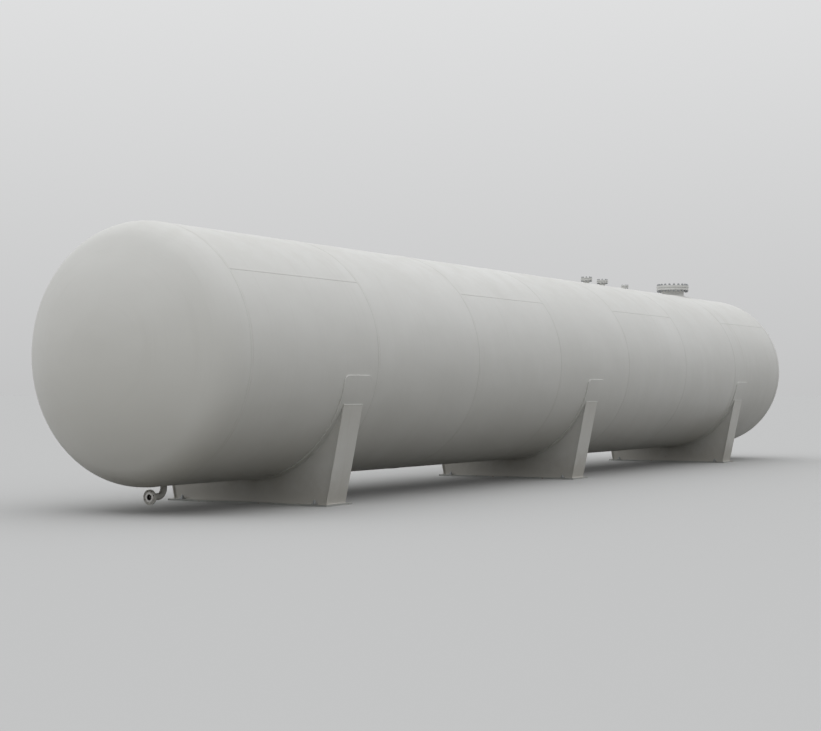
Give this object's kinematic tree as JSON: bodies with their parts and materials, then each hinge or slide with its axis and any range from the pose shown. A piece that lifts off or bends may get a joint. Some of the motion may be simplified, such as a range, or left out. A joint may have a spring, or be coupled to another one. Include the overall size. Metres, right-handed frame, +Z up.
{
  "type": "horizontal pressure tank",
  "caption": "Long white cylindrical pressure vessel with dished ends on three plate saddles, with a covered manway and nozzles on top and a flanged bottom outlet.",
  "frame": {"origin": "on the ground under the middle of the tank, halfway between its ends and its sides", "axes": "+X along the tank from the end with the bottom outlet to the end with the manway, +Y across it, +Z up"},
  "size_m": [22.831, 3.4398, 4.018],
  "materials": {
    "tank_white": "semi-gloss white paint, weathered",
    "saddle_white": "white paint, dusty near the ground",
    "foot_grey": "grey primer, dusty",
    "flange_face": "bare turned steel, dulled",
    "gasket": "dark fibre sheet"
  },
  "bodies": {
    "root": {"gauge_nozzle": "tank_white", "gauge_nozzle_cover": "tank_white", "gauge_nozzle_gasket": "gasket", "head_far": "tank_white", "head_near": "tank_white", "manway_cover": "tank_white", "manway_doubler": "tank_white", "manway_gasket": "gasket", "manway_neck": "tank_white", "outlet_flange": "flange_face", "outlet_pipe": "tank_white", "saddle_1_base_plate": "foot_grey", "saddle_1_ribs": "saddle_white", "saddle_1_side_plates": "saddle_white", "saddle_1_wear_pad": "tank_white", "saddle_1_webs": "saddle_white", "saddle_2_base_plate": "foot_grey", "saddle_2_ribs": "saddle_white", "saddle_2_side_plates": "saddle_white", "saddle_2_wear_pad": "tank_white", "saddle_2_webs": "saddle_white", "saddle_3_base_plate": "foot_grey", "saddle_3_ribs": "saddle_white", "saddle_3_side_plates": "saddle_white", "saddle_3_wear_pad": "tank_white", "saddle_3_webs": "saddle_white", "shell_course_1": "tank_white", "shell_course_2": "tank_white", "shell_course_3": "tank_white", "shell_course_4": "tank_white", "shell_course_5": "tank_white", "shell_course_6": "tank_white", "shell_course_7": "tank_white", "vapour_nozzle_1": "tank_white", "vapour_nozzle_1_cover": "tank_white", "vapour_nozzle_1_gasket": "gasket", "vapour_nozzle_2": "tank_white", "vapour_nozzle_2_cover": "tank_white", "vapour_nozzle_2_gasket": "gasket"}
  },
  "joints": []
}
